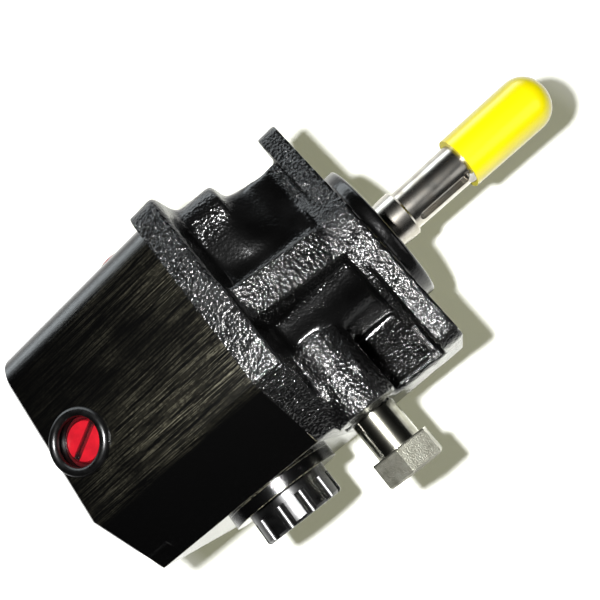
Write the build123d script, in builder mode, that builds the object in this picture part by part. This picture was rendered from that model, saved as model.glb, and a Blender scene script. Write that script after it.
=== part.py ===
from build123d import *
from math import acos, cos, pi, radians, sin, tan
import os

# Two-bolt gear motor with a cast shaft end cover, a gear housing and a port end cover.
# The origin is on the shaft axis at the flange's mounting face, +X out along the shaft,
# +Z up to the machined side with the rear port. Lengths are in millimetres.

# Mounting flange
pilot_r = 50.8
pilot_height = 9.7
bolt_spacing = 146.05
bolt_hole_r = 7.15
ear_reach = 88.0
ear_half_height = 46.0
ear_corner_radius = 10.0
ear_thickness = 13.5
ear_groove_r = 1.6
ear_groove_inset = 4.2
flange_hub_r = 58.0
flange_hub_thickness = 20.0

# Casting sections along the shaft
cover_length = 99.0
joint_flange_thickness = 19.0
housing_length = 88.0
port_cover_length = 39.0
neck_r = 43.0
web_thickness = 13.0
web_top = -14.0
wall_thickness = 7.0
wall_top = 13.0
wall_front_depth = 38.0
wall_back_depth = 74.0
rib_width = 22.0
rib_offset = -1.0
rib_front_height = 56.0
rib_back_height = 80.0
ridge_front_y = 37.0
ridge_back_y = 33.0
skirt_front_y = 67.0
nut_space_r = 12.0
nut_space_length = 20.0

# Cross-section of the body
side_face_height = 88.0
body_half_width = 84.0
body_depth = 132.0
flat_half_width = 42.5
chamfer_drop = 34.0
corner_radius = 26.0
flange_corner_radius = 13.0
flange_lip = 3.0
lower_corner_radius = 22.0

# Gears
centre_distance = 54.0
tooth_count = 12
pressure_angle = 25.0
backlash = 0.30
tip_clearance = 0.10
side_clearance = 0.05
plate_thickness = 6.0

# Journals, bearings and seal
journal_r = 17.5
bush_outer_r = 22.0
front_bush_length = 34.0
rear_bush_length = 26.0
running_clearance = 0.05
fit_clearance = 0.02
bearing_outer_r = 36.0
bearing_width = 17.0
bearing_back = 44.0
ball_share = 0.288
land_share = 0.157
ball_count = 10
ring_thickness = 2.0
ring_radial_width = 4.5
groove_depth = 1.5
carrier_back = 24.5
carrier_front = 6.5
carrier_lip = 3.0
seal_section = 9.1
seal_width = 9.0
seal_front = 2.0
seal_lip_gap = 0.05

# Shaft, key and cap
collar_r = 16.9
collar_reach = 27.0
shaft_r = 14.2875
shaft_reach = 129.0
keyway_start = 31.0
key_width = 6.35
key_depth = 3.2
key_height = 6.35
key_length = 50.0
key_start = 66.0
key_turn = 62.0
key_gap = 0.03
cap_rim = 70.7
cap_wall = 3.7
cap_end_wall = 4.0
cap_gap = 0.08
cap_dome_r = 13.0

# Ports
main_port_setback = 47.5
main_port_z = 9.0
port_bore_r = 16.6
port_passage_r = 12.0
port_depth = 24.0
boss_r = 27.0
boss_height = 14.0
pad_r = 39.5
pad_height = 8.0
plug_shank_r = 23.0
plug_head_r = 29.0
plug_head_height = 20.0
plug_notches = 12
plug_recess_r = 14.0
plug_gap = 0.2
rear_port_setback = 16.5
spot_face_r = 20.6
spot_face_depth = 1.2
rear_plug_recess = 7.0
rear_plug_head_r = 13.4
rear_plug_head_height = 4.0
red_plug_length = 16.0
red_plug_head_height = 15.0
red_plug_head_r = 20.0
slot_width = 4.5
slot_depth = 4.0
slot_turn = 26.5

# Relief cartridge
relief_setback = 10.0
relief_z = 16.0
relief_boss_r = 19.5
relief_boss_height = 4.0
relief_boss_length = 58.0
oring_cord = 3.0
cartridge_r = 15.0
cartridge_shank_r = 12.0
cartridge_reach = 25.0
cartridge_depth = 44.0
hex_across_flats = 37.0
hex_length = 17.0
poppet_r = 6.0
poppet_length = 12.0
valve_seat_r = 4.0
seat_outer_r = 8.0
seat_length = 4.0
gallery_inset = 67.0
gallery_r = 3.0
spring_r = 5.0
spring_wire_r = 0.8
spring_turns = 5

# Fasteners
bolt_inset_y = 18.0
bolt_inset_top = 38.0
bolt_inset_bottom = 24.0
bolt_r = 8.0
bolt_hole_clearance = 0.4
bolt_head_r = 12.0
bolt_head_height = 14.0
socket_flats = 12.0
bolt_thread_depth = 40.0
counterbore_r = 14.3
counterbore_depth = 19.0
washer_r = 13.5
washer_thickness = 3.0
corner_boss_r = 17.0
corner_boss_reach = 28.0
dowel_r = 5.0
dowel_length = 18.0
dowel_z = 56.0
dowel_y = 30.0

# Section seals
seal_cord = 2.6
seal_groove_depth = 2.0
seal_loop_offset = 8.0

joint_flange_front = cover_length - joint_flange_thickness
relief_x = joint_flange_front - relief_setback
relief_boss_end = body_half_width + relief_boss_height
gallery_y = relief_boss_end - gallery_inset
seal_outer_r = collar_r + seal_section
main_port_x = cover_length + main_port_setback
rear_port_x = cover_length + housing_length + rear_port_setback
bolt_y = body_half_width - bolt_inset_y
upper_bolt_z = side_face_height - bolt_inset_top
lower_bolt_z = -body_depth + bolt_inset_bottom
housing_front = -cover_length
housing_back = housing_front - housing_length
rear_end = housing_back - port_cover_length
module_size = centre_distance / tooth_count
pitch_r = centre_distance / 2
tip_r = pitch_r + module_size
root_r = pitch_r - 1.25 * module_size
gear_front = housing_front - plate_thickness - side_clearance
gear_back = housing_back + plate_thickness + side_clearance
gear_width = gear_front - gear_back
main_port_face = body_half_width + boss_height
pad_face = body_half_width + pad_height
bearing_front = -bearing_back + bearing_width
bolt_places = [
    (side * bolt_y, height)
    for side in (-1, 1)
    for height in (upper_bolt_z, lower_bolt_z)
]
shaft_axis = Axis((0, 0, 0), (1, 0, 0))


def across(x):
    """Plane square to the shaft at x, its local axes +Y and +Z."""
    return Plane.YZ.offset(x)


def upright(x, z):
    """Plane facing up at height z, centred over the shaft axis at x."""
    return Plane(origin=(x, 0, z), x_dir=(1, 0, 0), z_dir=(0, 0, 1))


def facing_side(x, y, z, side):
    """Plane facing +Y or -Y at a point, its local x along the shaft."""
    return Plane(origin=(x, y, z), x_dir=(1, 0, 0), z_dir=(0, side, 0))


def body_section(top_corner_radius, lip=0):
    """Outline of the body: flat top, broad chamfer on -Y, round corners elsewhere, a lip on +Y."""
    with BuildSketch(mode=Mode.PRIVATE) as section:
        with BuildLine():
            Polyline(
                (-body_half_width, -body_depth),
                (body_half_width + lip, -body_depth),
                (body_half_width + lip, side_face_height),
                (-flat_half_width, side_face_height),
                (-body_half_width, side_face_height - chamfer_drop),
                close=True,
            )
        make_face()
        corners = section.vertices().group_by(Axis.Y)
        fillet(corners[0], lower_corner_radius)
        fillet(section.vertices().sort_by(lambda v: v.X + v.Y)[-1], top_corner_radius)
    return section.sketch


def chamber_section(radius):
    """Two overlapping circles on the gear centres."""
    with BuildSketch(mode=Mode.PRIVATE) as section:
        Circle(radius)
        with Locations((0, -centre_distance)):
            Circle(radius)
    return section.sketch


def gear_section():
    """Involute spur gear with a tooth pointing along local +Y."""
    base_r = pitch_r * cos(radians(pressure_angle))
    involute_at_pitch = tan(radians(pressure_angle)) - radians(pressure_angle)
    half_tooth = pi / (2 * tooth_count) - backlash / (4 * pitch_r)

    def flank(radius, side):
        pressure = acos(min(1, base_r / radius))
        turn = half_tooth + involute_at_pitch - (tan(pressure) - pressure)
        return (side * radius * sin(turn), radius * cos(turn))

    steps = [base_r + (tip_r - base_r) * (k / 4) ** 2 for k in range(5)]
    root_angle = half_tooth + involute_at_pitch
    with BuildSketch(mode=Mode.PRIVATE) as section:
        Circle(root_r)
        with BuildSketch(mode=Mode.PRIVATE) as tooth:
            with BuildLine():
                left = Spline(*[flank(radius, -1) for radius in steps])
                right = Spline(*[flank(radius, 1) for radius in steps])
                ThreePointArc(left @ 1, (0, tip_r), right @ 1)
                foot_left = (-(root_r - 1) * sin(root_angle), (root_r - 1) * cos(root_angle))
                foot_right = (-foot_left[0], foot_left[1])
                Polyline(left @ 0, foot_left, foot_right, right @ 0)
            make_face()
        with PolarLocations(0, tooth_count):
            add(tooth.sketch)
    return section.sketch


# Shaft end cover: mounting flange, neck, webs, ribs, joint flange and the relief valve's cast boss
with BuildPart() as shaft_end_cover:
    with BuildSketch(across(-ear_thickness)) as ear_plate:
        with BuildLine():
            Polyline(
                (-ear_reach, -ear_half_height),
                (-flange_hub_r * 0.35, -flange_hub_r * 0.94),
                (flange_hub_r * 0.35, -flange_hub_r * 0.94),
                (ear_reach, -ear_half_height),
                (ear_reach, ear_half_height),
                (flange_hub_r * 0.35, flange_hub_r * 0.94),
                (-flange_hub_r * 0.35, flange_hub_r * 0.94),
                (-ear_reach, ear_half_height),
                close=True,
            )
        make_face()
        fillet(ear_plate.vertices().group_by(Axis.X)[0], ear_corner_radius)
        fillet(ear_plate.vertices().group_by(Axis.X)[-1], ear_corner_radius)
        Circle(flange_hub_r)
    extrude(amount=ear_thickness)
    with BuildSketch(across(-flange_hub_thickness)):
        Circle(flange_hub_r)
    extrude(amount=flange_hub_thickness)
    with BuildSketch(across(0)):
        Circle(pilot_r)
    extrude(amount=pilot_height)
    chamfer(shaft_end_cover.faces().sort_by(Axis.X)[-1].edges(), 1.5)
    # flared skirt on +Y of the neck, its ridge and crest lines running back to the joint flange
    rib_edge = rib_offset - rib_width / 2
    with BuildSketch(across(-joint_flange_front - 1)):
        Polygon(
            (rib_edge, web_top),
            (rib_edge, side_face_height - 24),
            (rib_edge + rib_width, side_face_height - 24),
            (ridge_back_y, side_face_height - 28),
            (body_half_width - 10, side_face_height - 36),
            (body_half_width - 6, side_face_height - 58),
            (body_half_width - 14, web_top),
            align=None,
        )
    with BuildSketch(across(-ear_thickness)):
        Polygon(
            (rib_edge, web_top),
            (rib_edge, flange_hub_r - 9),
            (rib_edge + rib_width, flange_hub_r - 9),
            (ridge_front_y, ear_half_height - 1),
            (skirt_front_y, ear_half_height - 3),
            (skirt_front_y - 3, ear_half_height - 16),
            (bolt_spacing / 2 - nut_space_r - 8, web_top),
            align=None,
        )
    loft()
    # joint flange that meets the gear housing
    with BuildSketch(across(-cover_length)):
        add(body_section(flange_corner_radius, flange_lip))
    extrude(amount=joint_flange_thickness)
    # neck around the shaft bearings and the boss behind the idler's bearing
    with BuildSketch(across(-joint_flange_front)):
        Circle(neck_r)
    extrude(amount=joint_flange_front)
    with BuildSketch(across(-joint_flange_front)):
        with Locations((0, -centre_distance)):
            Circle(bush_outer_r + 12)
    extrude(amount=26, taper=12)
    # level web from the ears back to the joint flange
    with BuildSketch(upright(0, web_top - web_thickness)):
        Polygon(
            (-3, -ear_reach),
            (-joint_flange_front - 1, -ear_reach),
            (-joint_flange_front - 1, body_half_width - 4),
            (-3, skirt_front_y - 5),
            align=None,
        )
    extrude(amount=web_thickness)
    # upright wall on -Y, from the ear back to the joint flange
    with BuildSketch(Plane.XZ.offset(ear_reach - wall_thickness)):
        Polygon(
            (-3, wall_top),
            (-3, -wall_front_depth),
            (-joint_flange_front - 1, -wall_back_depth),
            (-joint_flange_front - 1, wall_top),
            align=None,
        )
    extrude(amount=wall_thickness)
    # longitudinal rib over the neck
    with BuildSketch(Plane.XZ.offset(-rib_offset)):
        Polygon(
            (-1, neck_r - 8),
            (-1, rib_front_height),
            (-flange_hub_thickness, rib_front_height + 2),
            (-joint_flange_front - 1, rib_back_height),
            (-joint_flange_front - 1, neck_r - 8),
            align=None,
        )
    extrude(amount=rib_width / 2, both=True)
    # corner bosses that take the tie bolts' threads
    for y, z in bolt_places:
        with BuildSketch(across(-joint_flange_front)):
            with Locations((y, z)):
                Circle(corner_boss_r)
        extrude(amount=corner_boss_reach, taper=4)
    # cast boss of the relief cartridge
    with BuildSketch(facing_side(-relief_x, -relief_boss_end, relief_z, -1)):
        Circle(relief_boss_r)
    extrude(amount=-relief_boss_length)
    # shaft passage, stepped bore for bearing and seal carrier, and ring groove
    with BuildSketch(across(pilot_height)):
        Circle(collar_r + 1.2)
    extrude(amount=-(pilot_height + cover_length), mode=Mode.SUBTRACT)
    with BuildSketch(across(-bearing_back)):
        Circle(bearing_outer_r)
    extrude(amount=bearing_back + pilot_height, mode=Mode.SUBTRACT)
    with BuildSketch(across(bearing_front)):
        Circle(bearing_outer_r + groove_depth)
    extrude(amount=ring_thickness, mode=Mode.SUBTRACT)
    # bores of the two front bushes, open at the joint face
    for z in (0, -centre_distance):
        with BuildSketch(across(-cover_length)):
            with Locations((0, z)):
                Circle(bush_outer_r)
        extrude(amount=front_bush_length, mode=Mode.SUBTRACT)
        with BuildSketch(across(-cover_length + front_bush_length)):
            with Locations((0, z)):
                Circle(journal_r + 1)
        extrude(amount=4, mode=Mode.SUBTRACT)
    # relief cartridge bore with its spot face, and its gallery to the joint face
    with BuildSketch(facing_side(-relief_x, -relief_boss_end, relief_z, -1)):
        Circle(relief_boss_r)
    extrude(amount=cartridge_reach, mode=Mode.SUBTRACT)
    with BuildSketch(facing_side(-relief_x, -relief_boss_end, relief_z, -1)):
        Circle(cartridge_shank_r + plug_gap)
    extrude(amount=-cartridge_depth - 1, mode=Mode.SUBTRACT)
    with BuildSketch(facing_side(-relief_x, -relief_boss_end + cartridge_depth, relief_z, -1)):
        Circle(valve_seat_r)
    extrude(amount=-(relief_boss_end - cartridge_depth - gallery_y), mode=Mode.SUBTRACT)
    with BuildSketch(across(-cover_length)):
        with Locations((-gallery_y, relief_z)):
            Circle(gallery_r)
    extrude(amount=cover_length - relief_x, mode=Mode.SUBTRACT)
    # tie bolt holes and dowel holes in the joint face
    with BuildSketch(across(-cover_length)):
        with Locations(*bolt_places):
            Circle(bolt_r + bolt_hole_clearance)
    extrude(amount=bolt_thread_depth, mode=Mode.SUBTRACT)
    with BuildSketch(across(-cover_length)):
        with Locations((dowel_y, dowel_z), (-dowel_y, -centre_distance - dowel_z)):
            Circle(dowel_r + fit_clearance)
    extrude(amount=dowel_length / 2 + 1, mode=Mode.SUBTRACT)
    # groove across the upper outer corner of the -Y ear
    with BuildSketch(across(-ear_thickness)):
        with Locations((ear_groove_inset - ear_reach, ear_half_height - ear_groove_inset + ear_groove_r)):
            Circle(ear_groove_r)
    extrude(amount=ear_thickness, mode=Mode.SUBTRACT)
    # flange bolt holes, with room behind each ear for a nut
    with BuildSketch(across(-ear_thickness)):
        with Locations((-bolt_spacing / 2, 0), (bolt_spacing / 2, 0)):
            Circle(bolt_hole_r)
    extrude(amount=ear_thickness, mode=Mode.SUBTRACT)
    with BuildSketch(across(-ear_thickness)):
        with Locations((-bolt_spacing / 2, 0), (bolt_spacing / 2, 0)):
            Circle(nut_space_r)
    extrude(amount=-nut_space_length, mode=Mode.SUBTRACT)
shaft_end_cover.part.label = "shaft_end_cover"

# Gear housing: body section with the gear chamber, two side ports and the bolt holes
with BuildPart() as gear_housing:
    with BuildSketch(across(housing_back)):
        add(body_section(corner_radius))
    extrude(amount=housing_length)
    with BuildSketch(facing_side(-main_port_x, body_half_width - 4, main_port_z, 1)):
        Circle(boss_r)
    extrude(amount=boss_height + 4)
    chamfer(gear_housing.faces().sort_by(Axis.Y)[-1].edges(), 2)
    with BuildSketch(facing_side(-main_port_x, -body_half_width + 4, main_port_z, -1)):
        Circle(pad_r)
    extrude(amount=pad_height + 4)
    with BuildSketch(across(housing_back)):
        add(chamber_section(tip_r + tip_clearance))
    extrude(amount=housing_length, mode=Mode.SUBTRACT)
    with BuildSketch(across(housing_back)):
        with Locations(*bolt_places):
            Circle(bolt_r + bolt_hole_clearance)
        with Locations((dowel_y, dowel_z), (-dowel_y, -centre_distance - dowel_z)):
            Circle(dowel_r + fit_clearance)
    extrude(amount=housing_length, mode=Mode.SUBTRACT)
    for x in (housing_back, housing_front - seal_groove_depth):
        with BuildSketch(across(x)):
            add(chamber_section(tip_r + seal_loop_offset + seal_cord))
            add(chamber_section(tip_r + seal_loop_offset), mode=Mode.SUBTRACT)
        extrude(amount=seal_groove_depth, mode=Mode.SUBTRACT)
    with BuildSketch(facing_side(-main_port_x, main_port_face, main_port_z, 1)):
        Circle(port_bore_r)
    extrude(amount=-port_depth, mode=Mode.SUBTRACT)
    with BuildSketch(facing_side(-main_port_x, -pad_face, main_port_z, -1)):
        Circle(plug_shank_r + plug_gap)
    extrude(amount=-port_depth, mode=Mode.SUBTRACT)
    for side, face in ((1, main_port_face), (-1, pad_face)):
        with BuildSketch(facing_side(-main_port_x, side * face, main_port_z, side)):
            Circle(port_passage_r)
        extrude(amount=-(face - 14), mode=Mode.SUBTRACT)
gear_housing.part.label = "gear_housing"

# Port end cover: body section with the rear port, blind bearing bores and head seats
with BuildPart() as port_end_cover:
    with BuildSketch(across(rear_end)):
        add(body_section(corner_radius))
    extrude(amount=port_cover_length)
    chamfer(port_end_cover.faces().sort_by(Axis.X)[0].edges(), 3)
    for z in (0, -centre_distance):
        with BuildSketch(across(housing_back)):
            with Locations((0, z)):
                Circle(bush_outer_r)
        extrude(amount=-rear_bush_length, mode=Mode.SUBTRACT)
        with BuildSketch(across(housing_back - rear_bush_length)):
            with Locations((0, z)):
                Circle(journal_r - 1)
        extrude(amount=-4, mode=Mode.SUBTRACT)
    with BuildSketch(across(rear_end)):
        with Locations(*bolt_places):
            Circle(bolt_r + bolt_hole_clearance)
    extrude(amount=port_cover_length, mode=Mode.SUBTRACT)
    with BuildSketch(across(rear_end)):
        with Locations(*bolt_places):
            Circle(counterbore_r)
    extrude(amount=counterbore_depth, mode=Mode.SUBTRACT)
    with BuildSketch(across(housing_back)):
        with Locations((dowel_y, dowel_z), (-dowel_y, -centre_distance - dowel_z)):
            Circle(dowel_r + fit_clearance)
    extrude(amount=-dowel_length / 2 - 1, mode=Mode.SUBTRACT)
    with BuildSketch(upright(-rear_port_x, side_face_height)):
        Circle(spot_face_r)
    extrude(amount=-spot_face_depth, mode=Mode.SUBTRACT)
    with BuildSketch(upright(-rear_port_x, side_face_height - spot_face_depth)):
        Circle(port_bore_r)
    extrude(amount=-port_depth, mode=Mode.SUBTRACT)
    # drilled passage from the rear port to the joint face
    with BuildSketch(across(-rear_port_x)):
        with Locations((0, side_face_height - spot_face_depth - port_depth + 8)):
            Circle(5)
    extrude(amount=rear_port_x + housing_back + 1, mode=Mode.SUBTRACT)
port_end_cover.part.label = "port_end_cover"

# Thrust plates, one against each side of the gears
thrust_plates = []
for name, x in (("thrust_plate_front", housing_front - plate_thickness), ("thrust_plate_rear", housing_back)):
    with BuildPart() as plate:
        with BuildSketch(across(x)):
            add(chamber_section(tip_r))
            with Locations((0, 0), (0, -centre_distance)):
                Circle(journal_r + 2 * running_clearance, mode=Mode.SUBTRACT)
        extrude(amount=plate_thickness)
    plate.part.label = name
    thrust_plates.append(plate.part)

# Bearing bushes of both shafts
bushes = []
bush_rows = (
    ("bush_drive_front", 0, housing_front, front_bush_length),
    ("bush_idler_front", -centre_distance, housing_front, front_bush_length),
    ("bush_drive_rear", 0, housing_back - rear_bush_length, rear_bush_length),
    ("bush_idler_rear", -centre_distance, housing_back - rear_bush_length, rear_bush_length),
)
for name, z, x, length in bush_rows:
    with BuildPart() as bush:
        with BuildSketch(across(x)):
            with Locations((0, z)):
                Circle(bush_outer_r - fit_clearance)
                Circle(journal_r + running_clearance, mode=Mode.SUBTRACT)
        extrude(amount=length)
    bush.part.label = name
    bushes.append(bush.part)

# Drive shaft with its gear, journals, seal collar and keyed end
with BuildPart() as drive_shaft:
    with BuildSketch(across(gear_back)):
        add(gear_section())
    extrude(amount=gear_width)
    with BuildSketch(across(housing_back - rear_bush_length + 1)):
        Circle(journal_r)
    extrude(amount=-bearing_back - 0.5 - (housing_back - rear_bush_length + 1))
    with BuildSketch(across(-bearing_back - 1)):
        Circle(collar_r)
    extrude(amount=bearing_back + 1 + collar_reach)
    chamfer(drive_shaft.faces().sort_by(Axis.X)[-1].edges(), 1.2)
    with BuildSketch(across(collar_reach - 1)):
        Circle(shaft_r)
    extrude(amount=shaft_reach - collar_reach + 1)
    chamfer(drive_shaft.faces().sort_by(Axis.X)[-1].edges(), 1.5)
    chamfer(drive_shaft.faces().sort_by(Axis.X)[0].edges(), 1)
    key_plane = Plane(origin=(0, 0, 0), x_dir=(1, 0, 0), z_dir=(0, -sin(radians(key_turn)), cos(radians(key_turn))))
    with BuildSketch(key_plane.offset(shaft_r - key_depth)):
        with Locations(((keyway_start + shaft_reach + 20) / 2, 0)):
            SlotOverall(shaft_reach + 20 - keyway_start, key_width)
    extrude(amount=key_depth + 2, mode=Mode.SUBTRACT)
drive_shaft.part.label = "drive_shaft"

# Key with rounded ends
with BuildPart() as shaft_key:
    with BuildSketch(key_plane.offset(shaft_r - key_depth + fit_clearance)):
        with Locations((key_start + key_length / 2, 0)):
            SlotOverall(key_length, key_width - 2 * key_gap)
    extrude(amount=key_height)
shaft_key.part.label = "shaft_key"
key_top = shaft_r - key_depth + fit_clearance + key_height

# Idler gear on its own journals
with BuildPart() as idler_gear:
    with BuildSketch(Plane(origin=(gear_back, 0, -centre_distance), x_dir=(0, 1, 0), z_dir=(1, 0, 0))):
        add(gear_section().rotate(Axis.Z, 180 / tooth_count))
    extrude(amount=gear_width)
    with BuildSketch(across(housing_back - rear_bush_length + 1)):
        with Locations((0, -centre_distance)):
            Circle(journal_r)
    extrude(amount=housing_length + rear_bush_length + front_bush_length - 2)
    chamfer(idler_gear.faces().sort_by(Axis.X)[-1].edges(), 1)
    chamfer(idler_gear.faces().sort_by(Axis.X)[0].edges(), 1)
idler_gear.part.label = "idler_gear"

# Outboard ball bearing: races and balls
race_inner_r = collar_r + fit_clearance
race_land = land_share * (bearing_outer_r - collar_r)
ball_r = ball_share * (bearing_outer_r - collar_r)
ball_circle_r = (race_inner_r + bearing_outer_r) / 2
groove_r = ball_r + 0.15
with BuildPart() as bearing_outer_race:
    with BuildSketch(across(-bearing_back)):
        Circle(bearing_outer_r - fit_clearance)
        Circle(ball_circle_r + race_land, mode=Mode.SUBTRACT)
    extrude(amount=bearing_width)
    with BuildSketch(Plane.XY):
        with Locations((-bearing_back + bearing_width / 2, ball_circle_r)):
            Circle(groove_r)
    revolve(axis=shaft_axis, mode=Mode.SUBTRACT)
bearing_outer_race.part.label = "bearing_outer_race"
with BuildPart() as bearing_inner_race:
    with BuildSketch(across(-bearing_back)):
        Circle(ball_circle_r - race_land)
        Circle(race_inner_r, mode=Mode.SUBTRACT)
    extrude(amount=bearing_width)
    with BuildSketch(Plane.XY):
        with Locations((-bearing_back + bearing_width / 2, ball_circle_r)):
            Circle(groove_r)
    revolve(axis=shaft_axis, mode=Mode.SUBTRACT)
bearing_inner_race.part.label = "bearing_inner_race"
with BuildPart() as bearing_balls:
    with Locations(across(-bearing_back + bearing_width / 2)):
        with PolarLocations(ball_circle_r, ball_count):
            Sphere(ball_r)
bearing_balls.part.label = "bearing_balls"

# Retaining ring in front of the bearing
with BuildPart() as retaining_ring:
    with BuildSketch(across(bearing_front)):
        Circle(bearing_outer_r + groove_depth - fit_clearance)
        Circle(bearing_outer_r - ring_radial_width, mode=Mode.SUBTRACT)
        with Locations((0, bearing_outer_r)):
            Rectangle(9, 12, mode=Mode.SUBTRACT)
    extrude(amount=ring_thickness)
retaining_ring.part.label = "retaining_ring"

# Seal carrier pressed into the pilot, with a lip behind the seal
with BuildPart() as seal_carrier:
    with BuildSketch(across(-carrier_back)):
        Circle(bearing_outer_r - fit_clearance)
        Circle(seal_outer_r - carrier_lip, mode=Mode.SUBTRACT)
    extrude(amount=carrier_back + carrier_front)
    with BuildSketch(across(-seal_front - seal_width)):
        Circle(seal_outer_r)
    extrude(amount=seal_width + seal_front + carrier_front, mode=Mode.SUBTRACT)
    chamfer(seal_carrier.faces().sort_by(Axis.X)[-1].edges(), 0.8)
seal_carrier.part.label = "seal_carrier"

# Shaft seal in the carrier
with BuildPart() as shaft_seal:
    with BuildSketch(Plane.XY):
        with BuildLine():
            Polyline(
                (-seal_front, seal_outer_r - fit_clearance),
                (-seal_front - seal_width, seal_outer_r - fit_clearance),
                (-seal_front - seal_width, seal_outer_r - 2.5),
                (-seal_front - 2.5, seal_outer_r - 2.5),
                (-seal_front - 5, collar_r + seal_lip_gap),
                (-seal_front - 2, collar_r + seal_lip_gap),
                (-seal_front, collar_r + 2.5),
                close=True,
            )
        make_face()
    revolve(axis=shaft_axis)
shaft_seal.part.label = "shaft_seal"

# Yellow dust cap pulled over the keyed shaft end
with BuildPart() as shaft_cap:
    with BuildSketch(across(cap_rim)):
        Circle(shaft_r + cap_gap + cap_wall)
    extrude(amount=shaft_reach + cap_end_wall - cap_rim)
    fillet(shaft_cap.faces().sort_by(Axis.X)[-1].edges(), cap_dome_r)
    with BuildSketch(across(cap_rim)):
        Circle(shaft_r + cap_gap)
    extrude(amount=shaft_reach + cap_gap - cap_rim, mode=Mode.SUBTRACT)
    with BuildSketch(key_plane.offset(shaft_r - 2)):
        with Locations(((cap_rim + key_start + key_length) / 2, 0)):
            Rectangle(key_start + key_length - cap_rim + 2, key_width + 2 * cap_gap)
    extrude(amount=key_top + cap_gap - shaft_r + 2, mode=Mode.SUBTRACT)
shaft_cap.part.label = "shaft_cap"


def slotted_plug(name, plane, length, head_r, head_height):
    """Plastic port plug: a shank in the bore and a slotted head on top."""
    with BuildPart() as plug:
        with BuildSketch(plane):
            Circle(port_bore_r - plug_gap)
        extrude(amount=-length)
        with BuildSketch(plane):
            Circle(head_r)
        extrude(amount=head_height)
        chamfer(plug.faces().sort_by(Axis(plane.origin, plane.z_dir))[-1].edges(), 1.5)
        with BuildSketch(plane.offset(head_height)):
            Rectangle(1.5 * port_bore_r, slot_width, rotation=slot_turn)
        extrude(amount=-slot_depth, mode=Mode.SUBTRACT)
    plug.part.label = name
    return plug.part


def ring_seal(name, plane, radius, cord):
    """O-ring whose cord is centred on the plane."""
    with BuildPart() as seal:
        with BuildSketch(Plane(origin=plane.origin, x_dir=plane.x_dir, z_dir=plane.y_dir)):
            with Locations((radius, 0)):
                Circle(cord / 2)
        revolve(axis=Axis(plane.origin, plane.z_dir))
    seal.part.label = name
    return seal.part


rear_plug_plane = upright(-rear_port_x, side_face_height - spot_face_depth - rear_plug_recess)
side_plug_plane = facing_side(-main_port_x, main_port_face + plug_gap, main_port_z, 1)
rear_port_plug = slotted_plug(
    "rear_port_plug", rear_plug_plane, red_plug_length, rear_plug_head_r, rear_plug_head_height
)
side_port_plug = slotted_plug(
    "side_port_plug", side_plug_plane, red_plug_length, red_plug_head_r, red_plug_head_height
)

# Black twelve-notch plug screwed into the lower side port
plug_face = facing_side(-main_port_x, -pad_face, main_port_z, -1)
with BuildPart() as main_port_plug:
    with BuildSketch(plug_face):
        Circle(plug_shank_r)
    extrude(amount=-port_depth + 1)
    with BuildSketch(plug_face):
        Circle(plug_head_r)
    extrude(amount=plug_head_height)
    chamfer(main_port_plug.faces().sort_by(Axis.Y)[0].edges(), 1.5)
    with BuildSketch(plug_face.offset(5)):
        with PolarLocations(plug_head_r + 1.5, plug_notches):
            Circle(4)
    extrude(amount=plug_head_height, mode=Mode.SUBTRACT)
    with BuildSketch(plug_face.offset(plug_head_height)):
        Circle(plug_recess_r)
    extrude(amount=-8, mode=Mode.SUBTRACT)
    with BuildSketch(plug_face):
        Circle(plug_shank_r)
        Circle(plug_shank_r - 1.8, mode=Mode.SUBTRACT)
    extrude(amount=-3, mode=Mode.SUBTRACT)
main_port_plug.part.label = "main_port_plug"
main_plug_seal = ring_seal("main_plug_seal", plug_face.offset(-1.5), plug_shank_r - 0.7, 1.5)

# Relief cartridge: hex head, plated cylinder and a shank with the spring chamber
relief_face = facing_side(-relief_x, -relief_boss_end, relief_z, -1)
chamber_end = cartridge_reach - 6
seat_plane = relief_face.offset(-cartridge_depth)
poppet_plane = relief_face.offset(-cartridge_depth + seat_length)
with BuildPart() as relief_cartridge:
    with BuildSketch(relief_face.offset(cartridge_reach)):
        RegularPolygon(hex_across_flats / 2, 6, major_radius=False, rotation=30)
    extrude(amount=hex_length)
    chamfer(relief_cartridge.faces().sort_by(Axis.Y)[0].edges(), 1.2)
    with BuildSketch(relief_face):
        Circle(cartridge_r)
    extrude(amount=cartridge_reach)
    with BuildSketch(seat_plane):
        Circle(cartridge_shank_r)
    extrude(amount=cartridge_depth)
    with BuildSketch(seat_plane):
        Circle(seat_outer_r)
    extrude(amount=seat_length, mode=Mode.SUBTRACT)
    with BuildSketch(poppet_plane):
        Circle(poppet_r + running_clearance)
    extrude(amount=cartridge_depth - seat_length + chamber_end, mode=Mode.SUBTRACT)
    with BuildSketch(relief_face.offset(-oring_cord)):
        Circle(cartridge_shank_r)
        Circle(cartridge_shank_r - oring_cord + plug_gap, mode=Mode.SUBTRACT)
    extrude(amount=oring_cord, mode=Mode.SUBTRACT)
relief_cartridge.part.label = "relief_cartridge"
relief_oring = ring_seal(
    "relief_oring", relief_face.offset(-oring_cord / 2), cartridge_shank_r - oring_cord / 2 + plug_gap, oring_cord - 0.05
)

with BuildPart() as relief_seat:
    with BuildSketch(seat_plane):
        Circle(seat_outer_r - fit_clearance)
        Circle(valve_seat_r, mode=Mode.SUBTRACT)
    extrude(amount=seat_length - fit_clearance)
relief_seat.part.label = "relief_seat"

with BuildPart() as relief_poppet:
    with BuildSketch(poppet_plane.offset(0.1)):
        Circle(poppet_r)
    extrude(amount=poppet_length)
    chamfer(relief_poppet.faces().sort_by(Axis.Y)[-1].edges(), 2.5)
relief_poppet.part.label = "relief_poppet"

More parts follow.
